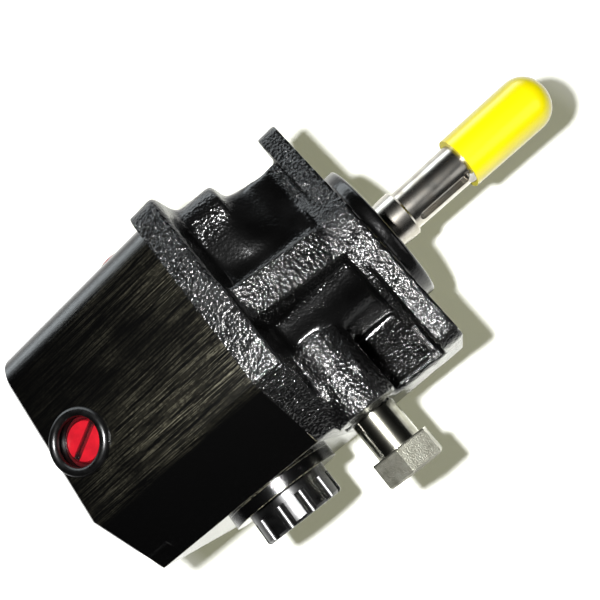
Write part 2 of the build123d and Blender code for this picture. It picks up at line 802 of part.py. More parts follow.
spring_start = poppet_length + 0.1 + spring_wire_r
spring_length = cartridge_depth - seat_length + chamber_end - spring_start - spring_wire_r - 0.1
spring_plane = poppet_plane.offset(spring_start)
with BuildPart() as relief_spring:
    with BuildLine():
        coil = Helix(
            spring_length / spring_turns,
            spring_length,
            spring_r - spring_wire_r,
            center=spring_plane.origin,
            direction=spring_plane.z_dir,
        )
    with BuildSketch(Plane(origin=coil @ 0, z_dir=coil % 0)):
        RegularPolygon(spring_wire_r, 6)
    sweep(path=coil, is_frenet=True)
relief_spring.part.label = "relief_spring"

# Socket head tie bolts from the rear, their washers, and the dowels of both joints
head_seat = rear_end + counterbore_depth - washer_thickness
with BuildPart() as tie_bolts:
    for y, z in bolt_places:
        with BuildSketch(across(head_seat)):
            with Locations((y, z)):
                Circle(bolt_r)
        extrude(amount=housing_front + bolt_thread_depth - 4 - head_seat)
        with BuildSketch(across(head_seat)):
            with Locations((y, z)):
                Circle(bolt_head_r)
        extrude(amount=-bolt_head_height)
        with BuildSketch(across(head_seat - bolt_head_height)):
            with Locations((y, z)):
                RegularPolygon(socket_flats / 2, 6, major_radius=False)
        extrude(amount=8, mode=Mode.SUBTRACT)
tie_bolts.part.label = "tie_bolts"

with BuildPart() as bolt_washers:
    with BuildSketch(across(head_seat)):
        for y, z in bolt_places:
            with Locations((y, z)):
                Circle(washer_r)
                Circle(bolt_r + bolt_hole_clearance, mode=Mode.SUBTRACT)
    extrude(amount=washer_thickness)
bolt_washers.part.label = "bolt_washers"

with BuildPart() as dowel_pins:
    for x in (housing_front, housing_back):
        with BuildSketch(across(x - dowel_length / 2)):
            with Locations((dowel_y, dowel_z), (-dowel_y, -centre_distance - dowel_z)):
                Circle(dowel_r)
        extrude(amount=dowel_length)
dowel_pins.part.label = "dowel_pins"

# Seals in the grooves round the gear chamber
section_seals = []
for name, x in (("section_seal_front", housing_front - seal_groove_depth), ("section_seal_rear", housing_back)):
    with BuildPart() as seal:
        with BuildSketch(across(x)):
            add(chamber_section(tip_r + seal_loop_offset + seal_cord - 0.1))
            add(chamber_section(tip_r + seal_loop_offset + 0.1), mode=Mode.SUBTRACT)
        extrude(amount=seal_groove_depth)
    seal.part.label = name
    section_seals.append(seal.part)

pieces = [
    shaft_end_cover.part,
    gear_housing.part,
    port_end_cover.part,
    *thrust_plates,
    *bushes,
    drive_shaft.part,
    shaft_key.part,
    idler_gear.part,
    bearing_outer_race.part,
    bearing_inner_race.part,
    bearing_balls.part,
    retaining_ring.part,
    seal_carrier.part,
    shaft_seal.part,
    shaft_cap.part,
    rear_port_plug,
    side_port_plug,
    main_port_plug.part,
    main_plug_seal,
    relief_cartridge.part,
    relief_oring,
    relief_seat.part,
    relief_poppet.part,
    relief_spring.part,
    tie_bolts.part,
    bolt_washers.part,
    dowel_pins.part,
    *section_seals,
]
os.makedirs("parts", exist_ok=True)
for piece in pieces:
    export_step(piece, f"parts/{piece.label}.step")
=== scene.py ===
import math

import bmesh
import bpy
from bpy.props import FloatProperty, FloatVectorProperty, PointerProperty, StringProperty
from mathutils import Matrix, Vector, noise


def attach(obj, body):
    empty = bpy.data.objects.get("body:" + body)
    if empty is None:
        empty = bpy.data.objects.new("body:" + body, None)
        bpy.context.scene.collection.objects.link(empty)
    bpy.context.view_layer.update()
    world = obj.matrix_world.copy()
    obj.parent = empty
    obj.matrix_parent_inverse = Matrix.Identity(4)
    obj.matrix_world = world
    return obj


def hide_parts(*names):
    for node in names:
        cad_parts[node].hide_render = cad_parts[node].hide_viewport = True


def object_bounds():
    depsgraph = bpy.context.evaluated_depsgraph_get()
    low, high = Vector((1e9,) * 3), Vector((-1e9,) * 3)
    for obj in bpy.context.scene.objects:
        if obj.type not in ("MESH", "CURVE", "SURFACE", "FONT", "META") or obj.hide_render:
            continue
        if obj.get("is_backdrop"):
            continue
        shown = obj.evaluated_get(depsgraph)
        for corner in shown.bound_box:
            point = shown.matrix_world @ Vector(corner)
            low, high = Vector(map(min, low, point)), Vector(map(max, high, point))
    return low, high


bl_info = {
    "name": "Hydraulic gear motor",
    "version": (1, 0, 0),
    "blender": (4, 5, 0),
    "location": "View3D > Sidebar > Gear Motor",
    "description": "Dresses a packed gear motor: castings, steel, vinyl, plastic, and the stage",
    "category": "Object",
}

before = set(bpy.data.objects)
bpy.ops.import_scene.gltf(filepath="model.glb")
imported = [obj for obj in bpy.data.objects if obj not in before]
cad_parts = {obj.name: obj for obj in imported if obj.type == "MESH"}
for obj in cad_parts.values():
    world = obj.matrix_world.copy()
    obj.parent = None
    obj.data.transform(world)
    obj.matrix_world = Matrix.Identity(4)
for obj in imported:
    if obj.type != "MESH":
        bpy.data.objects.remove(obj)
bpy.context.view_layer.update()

MM = 0.001
MULTIPLY = {"operation": "MULTIPLY"}
MADE = {}  # materials by the name of their builder

COVER_JOINT_X = -99 * MM  # shaft end cover against gear housing
REAR_JOINT_X = -187 * MM  # gear housing against port end cover

# Casting skin of the shaft end cover
JOINT_SPARE = 8 * MM  # how far the joint face is drawn out before it is cut back flat
SOFTEN_STEPS = 3  # rounds every edge
MELT_STEPS = 80  # runs the skirt and the pocket together
SHARP_ANGLE = math.radians(50)
GRAINS = ((4.5 * MM, 0.8), (2.4 * MM, 0.7))  # size and share of the sand's two grains
BOSS_START = (-66.5 * MM, -38 * MM, 48.5 * MM)  # long boss above the relief cartridge
BOSS_END = (-66.5 * MM, -87.5 * MM, 48.5 * MM)
BOSS_R = 19.5 * MM

# Forms that the skin has and the solid lacks, as places in millimetres and slopes
POCKET_EDGE_Y = -44  # the pocket's floor rises from here to its wall
POCKET_FLOOR_Z = -14
POCKET_SLOPE = 0.42
POCKET_RIPPLE = 2
POCKET_RIPPLE_SIZE = 14 * MM
HUMP_FOOT_Y = 20  # the fill between the skirt and its corner hump rises from here
HUMP_FOOT_Z = 58
HUMP_SLOPE = 0.18
RIB_TILT = 0.24

# Raised rim of the rear port
RIM_CENTRE = (-203.5 * MM, 0.0, 88.5 * MM)
RIM_R = 17.6 * MM
RIM_BEAD_R = 3 * MM

# Stage: white paper whose glow is painted olive grey round the motor as a painted shadow tone and white
# further out, and a window that only reflections see
PAPER_REACH = 4.0
SHADOW_CENTRE = (-0.06, 0.0)
SHADOW_NEAR = 0.25
SHADOW_FAR = 0.36
MIRRORED_PAPER = 0.9
WEAK_SKY = 0.05
WINDOW_EXTRA = 4.0
WHITE = "#FFFFFF"
PAPER = "#F8F9F4"
# Painted shadow tone of the paper's glow near the motor
PAINTED_SHADOW_TONE = "#7A7A62"
SKY_TINT = "#F2F4EA"
WINDOW_TINT = "#E8F0F4"
ROOM_AT_HORIZON = "#2C2E30"
ROOM_ABOVE = "#040404"
LAMP_TARGET = Vector((-0.08, 0.0, 0.0))
LAMPS = (  # name, place, diameter, watts
    ("flash", Vector((-0.062, -0.076, 0.378)), 0.022, 6.0),
    ("fill", Vector((0.35, -0.45, 0.45)), 0.4, 0.4),
)


def srgb(code):
    """Linear RGBA from an sRGB hex value such as "#F2E600"."""
    channels = [int(code[i : i + 2], 16) / 255 for i in (1, 3, 5)]
    linear = [c / 12.92 if c <= 0.04045 else ((c + 0.055) / 1.055) ** 2.4 for c in channels]
    return (*linear, 1.0)


def wire(tree, target, **sockets):
    """Set a node's sockets, by name or as i0, i1 and so on; a (node, output) value is linked."""
    for key, value in sockets.items():
        socket = target.inputs[int(key[1:]) if key[1:].isdigit() else key.replace("_", " ")]
        if isinstance(value, tuple) and hasattr(value[0], "outputs"):
            tree.links.new(value[0].outputs[value[1]], socket)
        else:
            socket.default_value = value


def node(tree, kind, settings=None, stops=(), **sockets):
    """Add a shader node with its properties, a ramp's (position, colour) stops and its sockets."""
    made = tree.nodes.new(kind)
    for key, value in (settings or {}).items():
        setattr(made, key, value)
    for index, (position, colour) in enumerate(stops):
        made.color_ramp.elements[index].position = position
        made.color_ramp.elements[index].color = colour
    wire(tree, made, **sockets)
    return made


def fresh_material(name):
    """Empty node material; returns the material, its tree, its shader and the row-frame position."""
    material = bpy.data.materials.new(name)
    material.use_nodes = True
    tree = material.node_tree
    tree.nodes.clear()
    shader = node(tree, "ShaderNodeBsdfPrincipled")
    node(tree, "ShaderNodeOutputMaterial", Surface=(shader, "BSDF"))
    return material, tree, shader, (node(tree, "ShaderNodeTexCoord"), "Object")


def per_mm(size):
    """Texture scale whose feature is about size millimetres, for coordinates in metres."""
    return 1.0 / (size * MM)


# Gloss black enamel brushed over sand-cast iron: the sand's grain stays under the paint
# and breaks the highlight into sparkles, while the skirt and the pocket run smooth
def painted_casting(props):
    material, tree, shader, point = fresh_material("gloss_black_enamel_on_sand_casting")
    smooth = node(tree, "ShaderNodeAttribute", {"attribute_name": "smooth_cast"})
    grain = node(tree, "ShaderNodeTexNoise", Vector=point, Scale=per_mm(1.3), Detail=2.0, Roughness=0.6)
    lumps = node(
        tree, "ShaderNodeTexVoronoi", {"feature": "SMOOTH_F1"}, Vector=point, Scale=per_mm(2.1),
        Smoothness=0.3,
    )
    patches = node(tree, "ShaderNodeTexNoise", Vector=point, Scale=per_mm(26.0), Detail=2.0)
    colour = node(
        tree, "ShaderNodeValToRGB", Fac=(patches, "Fac"),
        stops=((0.4, srgb(props.enamel)), (0.8, srgb(props.enamel_worn))),
    )
    rough = node(tree, "ShaderNodeMapRange", Value=(patches, "Fac"), To_Min=0.13, To_Max=0.24)
    depth = node(tree, "ShaderNodeMapRange", Value=(smooth, "Fac"), To_Min=1.0, To_Max=0.08)
    coarse = node(
        tree, "ShaderNodeBump", Height=(lumps, "Distance"), Strength=(depth, "Result"), Distance=0.6 * MM
    )
    fine = node(
        tree, "ShaderNodeBump", Height=(grain, "Fac"), Strength=(depth, "Result"), Distance=0.6 * MM,
        Normal=(coarse, "Normal"),
    )
    wire(
        tree, shader, Base_Color=(colour, "Color"), Roughness=(rough, "Result"), Normal=(fine, "Normal"),
        IOR=1.45,
    )
    return material


# Gloss black enamel over milled iron: long cutter marks along the shaft's direction, where the iron's
# yellowish grey shows in thin scratches, laid on more densely towards the front and the -Y side as a painted
# highlight, and in chips along the lower edge, which also serve as a painted edge highlight; a bevelled
# normal rounds the machined edges, except at the flush rear joint
def painted_milled(props):
    material, tree, shader, point = fresh_material("gloss_black_enamel_on_milled_iron")
    place = node(tree, "ShaderNodeSeparateXYZ", Vector=point)
    along = node(tree, "ShaderNodeMapping", Vector=point, Scale=(0.02, 1.0, 1.0))
    marks = node(
        tree, "ShaderNodeTexNoise", Vector=(along, "Vector"), Scale=per_mm(0.7), Detail=3.0, Roughness=0.8
    )
    flecks = node(tree, "ShaderNodeTexNoise", Vector=point, Scale=per_mm(2.2), Detail=4.0, Roughness=0.7)
    worn = node(tree, "ShaderNodeTexNoise", Vector=point, Scale=per_mm(48.0), Detail=2.0)

    # Scratches on the upper face, laid on more densely towards the front and the -Y side as a painted
    # highlight
    upper = node(tree, "ShaderNodeMapRange", Value=(place, "Z"), From_Min=84 * MM, From_Max=87 * MM)
    front = node(
        tree, "ShaderNodeMapRange", Value=(place, "X"), From_Min=-215 * MM, From_Max=-100 * MM, To_Min=0.1,
        To_Max=0.8,
    )
    side = node(
        tree, "ShaderNodeMapRange", Value=(place, "Y"), From_Min=50 * MM, From_Max=-30 * MM, To_Min=0.3,
        To_Max=1.0,
    )
    line = node(tree, "ShaderNodeMapRange", Value=(marks, "Fac"), From_Min=0.48, From_Max=0.72)
    fleck = node(tree, "ShaderNodeMapRange", Value=(flecks, "Fac"), From_Min=0.38, From_Max=0.62, To_Min=0.3)
    thin = node(tree, "ShaderNodeMapRange", Value=(worn, "Fac"), From_Min=0.35, From_Max=0.6, To_Min=0.15)
    share = line, "Result"
    for factor in (fleck, thin, front, side, upper):
        share = node(tree, "ShaderNodeMath", MULTIPLY, i0=share, i1=(factor, "Result")), "Value"

    # Chips where the bevelled normal turns away from the face, on the lower edge of the -Y side; they also
    # serve as a painted highlight along that edge
    edges = node(tree, "ShaderNodeBevel", {"samples": 6}, Radius=0.9 * MM)
    flat = node(tree, "ShaderNodeNewGeometry")
    offset = node(tree, "ShaderNodeMath", {"operation": "SUBTRACT"}, i0=(place, "X"), i1=REAR_JOINT_X)
    distance = node(tree, "ShaderNodeMath", {"operation": "ABSOLUTE"}, i0=(offset, "Value"))
    off_joint = node(
        tree, "ShaderNodeMath", {"operation": "GREATER_THAN"}, i0=(distance, "Value"), i1=2.0 * MM
    )
    low_side = node(
        tree, "ShaderNodeMapRange", Value=(place, "Y"), From_Min=-76 * MM, From_Max=-80 * MM
    )
    chips = node(tree, "ShaderNodeMapRange", Value=(flecks, "Fac"), From_Min=0.44, From_Max=0.58, To_Max=1.6)
    turned = node(
        tree, "ShaderNodeVectorMath", {"operation": "DOT_PRODUCT"}, i0=(edges, "Normal"), i1=(flat, "Normal")
    )
    edge = node(tree, "ShaderNodeMapRange", Value=(turned, "Value"), From_Min=0.995, From_Max=0.93)
    chips_and_painted_glint = edge, "Result"
    for factor in ((low_side, "Result"), (chips, "Result"), (off_joint, "Value")):
        chips_and_painted_glint = node(tree, "ShaderNodeMath", MULTIPLY, i0=chips_and_painted_glint, i1=factor), "Value"
    bare_iron_and_painted_sheen = node(tree, "ShaderNodeMath", {"operation": "MAXIMUM"}, i0=share, i1=chips_and_painted_glint), "Value"

    colour = node(
        tree, "ShaderNodeMix", {"data_type": "RGBA"}, i0=bare_iron_and_painted_sheen, i6=srgb(props.enamel), i7=srgb(props.scratch_and_sheen)
    )
    rough = node(tree, "ShaderNodeMapRange", Value=bare_iron_and_painted_sheen, To_Min=0.16, To_Max=0.5)
    clear = node(
        tree, "ShaderNodeMapRange", Value=(distance, "Value"), From_Min=1.2 * MM, From_Max=2.0 * MM
    )
    softened = node(
        tree, "ShaderNodeMix", {"data_type": "VECTOR"}, i0=(clear, "Result"), i4=(flat, "Normal"),
        i5=(edges, "Normal"),
    )
    lines = node(
        tree, "ShaderNodeBump", Height=(marks, "Fac"), Strength=0.3, Distance=0.25 * MM,
        Normal=(softened, "Result"),
    )
    pits = node(
        tree, "ShaderNodeBump", Height=(flecks, "Fac"), Strength=0.16, Distance=0.3 * MM,
        Normal=(lines, "Normal"),
    )
    wire(
        tree, shader, Base_Color=(colour, "Result"), Roughness=(rough, "Result"), Normal=(pits, "Normal"),
        IOR=1.45,
    )
    return material


# Ground and polished carbon steel: fine rings round the shaft, a clear mirror along it
def ground_steel(props):
    material, tree, shader, point = fresh_material("ground_and_polished_carbon_steel")
    rings = node(tree, "ShaderNodeMapping", Vector=point, Scale=(1.0, 0.04, 0.04))
    marks = node(tree, "ShaderNodeTexNoise", Vector=(rings, "Vector"), Scale=per_mm(0.8), Detail=2.0)
    stain = node(tree, "ShaderNodeTexNoise", Vector=point, Scale=per_mm(9.0), Detail=3.0)
    colour = node(
        tree, "ShaderNodeValToRGB", Fac=(stain, "Fac"),
        stops=((0.4, srgb(props.steel)), (0.8, srgb(props.steel_stain))),
    )
    rough = node(tree, "ShaderNodeMapRange", Value=(stain, "Fac"), To_Min=0.14, To_Max=0.3)
    bump = node(tree, "ShaderNodeBump", Height=(marks, "Fac"), Strength=0.12, Distance=0.05 * MM)
    wire(
        tree, shader, Base_Color=(colour, "Color"), Roughness=(rough, "Result"), Normal=(bump, "Normal"),
        Metallic=1.0,
    )
    return material


# Zinc-plated turned steel: bright, slightly yellow-grey, with turning rings about the valve's
# axis, and a duller, pitted hex head
def plated_steel(props):
    material, tree, shader, point = fresh_material("bright_zinc_plated_steel")
    rings = node(tree, "ShaderNodeMapping", Vector=point, Scale=(0.04, 1.0, 0.04))
    marks = node(tree, "ShaderNodeTexNoise", Vector=(rings, "Vector"), Scale=per_mm(0.9), Detail=2.0)
    cloud = node(tree, "ShaderNodeTexNoise", Vector=point, Scale=per_mm(7.0), Detail=3.0)
    pits = node(tree, "ShaderNodeTexNoise", Vector=point, Scale=per_mm(0.9), Detail=2.0)
    place = node(tree, "ShaderNodeSeparateXYZ", Vector=point)
    head = node(
        tree, "ShaderNodeMapRange", Value=(place, "Y"), From_Min=-112.5 * MM, From_Max=-114.5 * MM
    )
    colour = node(
        tree, "ShaderNodeValToRGB", Fac=(cloud, "Fac"),
        stops=((0.35, srgb(props.zinc)), (0.75, srgb(props.zinc_dull))),
    )
    rough = node(tree, "ShaderNodeMapRange", Value=(cloud, "Fac"), To_Min=0.12, To_Max=0.24)
    dull = node(
        tree, "ShaderNodeMath", {"operation": "MULTIPLY_ADD"}, i0=(head, "Result"), i1=0.3,
        i2=(rough, "Result"),
    )
    turned = node(tree, "ShaderNodeBump", Height=(marks, "Fac"), Strength=0.15, Distance=0.06 * MM)
    etched = node(
        tree, "ShaderNodeBump", Height=(pits, "Fac"), Strength=(head, "Result"), Distance=0.3 * MM,
        Normal=(turned, "Normal"),
    )
    wire(
        tree, shader, Base_Color=(colour, "Color"), Roughness=(dull, "Value"), Normal=(etched, "Normal"),
        Metallic=1.0,
    )
    return material


# Dip-moulded vinyl: thick, soft and glossy, with the faint orange peel of a dipped skin
def dipped_vinyl(props):
    material, tree, shader, point = fresh_material("dip_moulded_yellow_vinyl")
    peel = node(tree, "ShaderNodeTexNoise", Vector=point, Scale=per_mm(4.0), Detail=1.0)
    tone = node(tree, "ShaderNodeTexNoise", Vector=point, Scale=per_mm(22.0), Detail=1.0)
    colour = node(
        tree, "ShaderNodeValToRGB", Fac=(tone, "Fac"),
        stops=((0.3, srgb(props.vinyl)), (0.8, srgb(props.vinyl_shade))),
    )
    bump = node(tree, "ShaderNodeBump", Height=(peel, "Fac"), Strength=0.12, Distance=0.2 * MM)
    wire(
        tree, shader, Base_Color=(colour, "Color"), Normal=(bump, "Normal"), Roughness=0.28, IOR=1.53,
        Coat_Weight=0.2, Coat_Roughness=0.1,
    )
    return material


# Injection-moulded polyethylene: glossy red with flow marks, and painted shade that darkens slots and corners
# to near black
def moulded_red(props):
    material, tree, shader, point = fresh_material("moulded_red_polyethylene")
    flow = node(tree, "ShaderNodeTexNoise", Vector=point, Scale=per_mm(6.0), Detail=2.0)
    colour = node(
        tree, "ShaderNodeValToRGB", Fac=(flow, "Fac"),
        stops=((0.3, srgb(props.plug_red)), (0.75, srgb(props.plug_red_shade))),
    )
    # Painted shade: ambient occlusion darkens the red towards near black in slots and corners
    open_air = node(tree, "ShaderNodeAmbientOcclusion", {"samples": 8}, Distance=5 * MM)
    unshaded = node(tree, "ShaderNodeMapRange", Value=(open_air, "AO"), From_Min=0.45, From_Max=0.85)
    shaded_red = node(
        tree, "ShaderNodeMix", {"data_type": "RGBA"}, i0=(unshaded, "Result"), i6=srgb(props.crevice_shade),
        i7=(colour, "Color"),
    )
    bump = node(tree, "ShaderNodeBump", Height=(flow, "Fac"), Strength=0.15, Distance=0.2 * MM)
    wire(
        tree, shader, Base_Color=(shaded_red, "Result"), Normal=(bump, "Normal"), Roughness=0.3, IOR=1.51
    )
    return material


# Turned steel under black enamel: satin to glossy in patches, with a fine uneven surface
def black_steel(props):
    material, tree, shader, point = fresh_material("black_painted_turned_steel")
    wear = node(tree, "ShaderNodeTexNoise", Vector=point, Scale=per_mm(5.0), Detail=4.0)
    colour = node(
        tree, "ShaderNodeValToRGB", Fac=(wear, "Fac"),
        stops=((0.45, srgb(props.enamel)), (0.8, srgb(props.enamel_worn))),
    )
    rough = node(tree, "ShaderNodeMapRange", Value=(wear, "Fac"), To_Min=0.2, To_Max=0.42)
    bump = node(tree, "ShaderNodeBump", Height=(wear, "Fac"), Strength=0.3, Distance=0.25 * MM)
    wire(
        tree, shader, Base_Color=(colour, "Color"), Roughness=(rough, "Result"), Normal=(bump, "Normal"),
        IOR=1.42,
    )
    return material


# Leaded bearing bronze: warm and machined, with a fine mottled grain
def bearing_bronze(props):
    material, tree, shader, point = fresh_material("machined_bearing_bronze")
    grain = node(tree, "ShaderNodeTexNoise", Vector=point, Scale=per_mm(1.5), Detail=3.0)
    colour = node(
        tree, "ShaderNodeValToRGB", Fac=(grain, "Fac"),
        stops=((0.3, srgb(props.bronze)), (0.8, srgb(props.bronze_dark))),
    )
    wire(tree, shader, Base_Color=(colour, "Color"), Metallic=1.0, Roughness=0.32)
    return material


# Moulded nitrile rubber: matt black with a fine powdery grain
def nitrile(props):
    material, tree, shader, point = fresh_material("moulded_nitrile_rubber")
    grain = node(tree, "ShaderNodeTexNoise", Vector=point, Scale=per_mm(0.9), Detail=2.0)
    colour = node(
        tree, "ShaderNodeValToRGB", Fac=(grain, "Fac"),
        stops=((0.3, srgb(props.rubber)), (0.8, srgb(props.rubber_bloom))),
    )
    bump = node(tree, "ShaderNodeBump", Height=(grain, "Fac"), Strength=0.2, Distance=0.1 * MM)
    wire(tree, shader, Base_Color=(colour, "Color"), Normal=(bump, "Normal"), Roughness=0.62, IOR=1.52)
    return material


class MotorFinishSettings(bpy.types.PropertyGroup):
    """Colours of the motor's finishes, as sRGB hex values."""

    enamel: StringProperty(name="Enamel", description="Gloss black paint", default="#020202")
    enamel_worn: StringProperty(name="Thin enamel", description="Paint where it is thin", default="#060606")
    # Iron colour of the scratches and chips, which also carries the painted highlight on the milled face
    scratch_and_sheen: StringProperty(name="Scratches", description="Iron seen through the paint", default="#5E5B4C")
    steel: StringProperty(name="Ground steel", description="Polished shaft", default="#B4B1AA")
    steel_stain: StringProperty(name="Stained steel", description="Oil stain on the shaft", default="#857C70")
    zinc: StringProperty(name="Zinc", description="Plated relief cartridge", default="#A3A296")
    zinc_dull: StringProperty(name="Dull zinc", description="Clouded plating", default="#6F6E62")
    vinyl: StringProperty(name="Vinyl", description="Dipped shaft cap", default="#B2A800")
    vinyl_shade: StringProperty(name="Vinyl shade", description="Thicker vinyl", default="#AC9F00")
    plug_red: StringProperty(name="Plug red", description="Port plugs", default="#7E0A14")
    plug_red_shade: StringProperty(name="Plug red shade", description="Flow marks", default="#6A0610")
    # Painted shade colour for the plugs' slots and corners
    crevice_shade: StringProperty(name="Dirt", description="Oily dirt in the plugs' slots", default="#0C0203")
    bronze: StringProperty(name="Bronze", description="Bushes and thrust plates", default="#B98A4E")
    bronze_dark: StringProperty(name="Dark bronze", description="Grain of the bronze", default="#8A6233")
    rubber: StringProperty(name="Rubber", description="Nitrile seals", default="#131313")
    rubber_bloom: StringProperty(name="Rubber bloom", description="Powdery seal surface", default="#1F1F1F")


class MotorShapeSettings(bpy.types.PropertyGroup):
    """Sizes of the casting's surface, and the camera."""

    cast_voxel: FloatProperty(
        name="Casting cell", description="Cell of the cast surface", default=1.3 * MM, unit="LENGTH"
    )
    cast_relief: FloatProperty(
        name="Sand relief", description="Height of the sand's grain", default=0.16 * MM, unit="LENGTH"
    )
    eye: FloatVectorProperty(
        name="Camera place", description="Lens position", default=(-0.02222, -0.11434, 0.36798), unit="LENGTH"
    )
    gaze: FloatVectorProperty(name="Gaze", description="View direction", default=(-0.1992, 0.2634, -0.9439))
    up: FloatVectorProperty(name="Up", description="Image up direction", default=(0.6478, 0.7578, 0.0747))
    lens: FloatProperty(
        name="Lens", description="Focal length in millimetres on a 36 mm frame", default=34.08
    )
    shift_x: FloatProperty(name="Shift X", description="Sideways lens shift", default=0.0484)
    shift_y: FloatProperty(name="Shift Y", description="Upward lens shift", default=0.0879)


def material_for(builder):
    """Material made once by its builder."""
    if builder.__name__ not in MADE:
        MADE[builder.__name__] = builder(bpy.context.scene.gear_motor_finish)
    return MADE[builder.__name__]


def dress(builder, *names):
    """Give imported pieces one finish."""
    for name in names:
        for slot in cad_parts[name].material_slots:
            slot.material = material_for(builder)


def add_bar(mesh, start, end, radius):
    """Add a closed round bar between two points to a mesh."""
    start = Vector(start)
    end = Vector(end)
    axis = end - start
    turn = axis.to_track_quat("Z", "Y").to_matrix().to_4x4()
    work = bmesh.new()
    work.from_mesh(mesh)
    bmesh.ops.create_cone(
        work, cap_ends=True, segments=64, radius1=radius, radius2=radius, depth=axis.length,
        matrix=Matrix.Translation((start + end) / 2) @ turn,
    )
    work.to_mesh(mesh)
    work.free()


def add_ring(mesh, centre, ring_r, bead_r, around=96, across=16):
    """Add a level ring of round section to a mesh."""
    work = bmesh.new()
    work.from_mesh(mesh)
    loops = []
    for step in range(around):
        turn = math.tau * step / around
        loop = []
        for part in range(across):
            tilt = math.tau * part / across
            reach = ring_r + bead_r * math.cos(tilt)
            offset = Vector((reach * math.cos(turn), reach * math.sin(turn), bead_r * math.sin(tilt)))
            loop.append(work.verts.new(Vector(centre) + offset))
        loops.append(loop)
    for step in range(around):
        here = loops[step]
        there = loops[(step + 1) % around]
        for part in range(across):
            after = (part + 1) % across
            work.faces.new((here[part], there[part], there[after], here[after]))
    work.to_mesh(mesh)
    work.free()


def evaluated_copy(obj):
    """Replace an object's mesh by the result of its modifiers, and drop them."""
    graph = bpy.context.evaluated_depsgraph_get()
    made = bpy.data.meshes.new_from_object(obj.evaluated_get(graph))
    old = obj.data
    obj.modifiers.clear()
    obj.data = made
    bpy.data.meshes.remove(old)
    return made


def cut_true(mesh, plane_x):
    """Cut away what lies behind a joint plane, and close the mesh with a flat face."""
    work = bmesh.new()
    work.from_mesh(mesh)
    everything = work.verts[:] + work.edges[:] + work.faces[:]
    cut = bmesh.ops.bisect_plane(
        work, geom=everything, plane_co=(plane_x, 0, 0), plane_no=(-1, 0, 0), clear_outer=True
    )
    rim = [item for item in cut["geom_cut"] if isinstance(item, bmesh.types.BMEdge)]
    bmesh.ops.holes_fill(work, edges=rim, sides=0)
    work.to_mesh(mesh)
    work.free()


def ease(value, low, high):
    """0 below low, 1 above high, and smooth between them."""
    share = min(1.0, max(0.0, (value - low) / (high - low)))
    return share * share * (3 - 2 * share)


def span(value, outer_low, inner_low, inner_high, outer_high):
    """1 between the inner values, 0 beyond the outer ones, and smooth between them."""
    return ease(value, outer_low, inner_low) * (1 - ease(value, inner_high, outer_high))


def side_boss(x, y, z):
    """1 on the long boss above the relief cartridge, at a place in millimetres."""
    return ease(-y, 33, 37) * span(x, -90, -86, -46, -42) * ease(z, 26, 32)


def skirt_and_pocket(place):
    """1 on the smooth skirt and in the pocket of the shaft end cover, 0 on its rims."""
    x, y, z = (value / MM for value in place)
    behind_flange = span(x, -84, -79, -23, -19)
    skirt = ease(y, 12, 18) * behind_flange
    pocket = (1 - ease(y, -16, -12)) * (1 - ease(z, 58, 64)) * behind_flange * (1 - side_boss(x, y, z))
    return max(skirt, pocket)


def filled_hollows(place):
    """Slope the pocket's floor up to its wall, fill the skirt in at the hump, tilt the rib's crown."""
    x, y, z = (value / MM for value in place)
    if -80 < x < -18 and y < POCKET_EDGE_Y and -20 < z < 12:
        ripple = POCKET_RIPPLE * noise.noise(place / POCKET_RIPPLE_SIZE)
        floor = POCKET_FLOOR_Z + POCKET_SLOPE * (POCKET_EDGE_Y - y) + ripple
        place.z = max(z, floor) * MM
    if -82 < x < -38 and 26 < y < 68 and z > 36:
        crest = HUMP_FOOT_Z + HUMP_SLOPE * (y - HUMP_FOOT_Y)
        fade = 1 - ease(x, -64, -34)
        place.z = max(z, fade * crest + (1 - fade) * z) * MM
    if -82 < x < -18 and -16 < y < 16 and z > 46:
        place.z += RIB_TILT * y * (1 - ease(y, 7, 16)) * span(x, -82, -74, -24, -18) * MM
    return place


def sand_grain(place):
    """1 where the cover's sand grain shows, 0 on its machined faces, little on skirt and pocket."""
    x, y, z = (value / MM for value in place)
    if x > -1.5:
        return 0.0
    speckled = (1 - ease(y, -52, -42)) * (1 - ease(z, 12, 18)) * ease(x, -50, -44)
    hump = ease(y, 36, 56) * span(x, -84, -78, -58, -44) * 0.5
    return max(1 - 0.92 * skirt_and_pocket(place), speckled, hump)


def cast_skin(source, name):
    """Skin of the shaft end cover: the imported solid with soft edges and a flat, sharp joint face."""
    shape = bpy.context.scene.gear_motor_shape
    obj = bpy.data.objects.new(name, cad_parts[source].data.copy())
    bpy.context.scene.collection.objects.link(obj)
    for vertex in obj.data.vertices:
        if abs(vertex.co.x - COVER_JOINT_X) < 0.1 * MM:
            vertex.co.x -= JOINT_SPARE
    add_bar(obj.data, BOSS_START, BOSS_END, BOSS_R)
    remesh = obj.modifiers.new("cells", "REMESH")
    remesh.mode = "VOXEL"
    remesh.voxel_size = shape.cast_voxel
    soften = obj.modifiers.new("soften", "SMOOTH")
    soften.iterations = SOFTEN_STEPS
    mesh = evaluated_copy(obj)
    for vertex in mesh.vertices:
        vertex.co = filled_hollows(vertex.co.copy())
    group = obj.vertex_groups.new(name="blend")
    for vertex in mesh.vertices:
        group.add([vertex.index], skirt_and_pocket(vertex.co), "REPLACE")
    melt = obj.modifiers.new("melt", "SMOOTH")
    melt.iterations = MELT_STEPS
    melt.vertex_group = "blend"
    mesh = evaluated_copy(obj)
    normals = [Vector(normal.vector) for normal in mesh.vertex_normals]
    places = [vertex.co.copy() for vertex in mesh.vertices]
    for vertex, place, normal in zip(mesh.vertices, places, normals):
        grain = sum(noise.noise(place / size) * part for size, part in GRAINS)
        vertex.co = place + normal * (grain * shape.cast_relief * sand_grain(place))
    smooth = mesh.attributes.new("smooth_cast", "FLOAT", "POINT")
    for vertex in mesh.vertices:
        smooth.data[vertex.index].value = 1.0 - sand_grain(vertex.co)
    cut_true(mesh, COVER_JOINT_X)
    mesh.materials.clear()
    mesh.materials.append(material_for(painted_casting))
    for polygon in mesh.polygons:
        polygon.use_smooth = True
    mesh.set_sharp_from_angle(angle=SHARP_ANGLE)
    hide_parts(source)
    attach(obj, "housing")


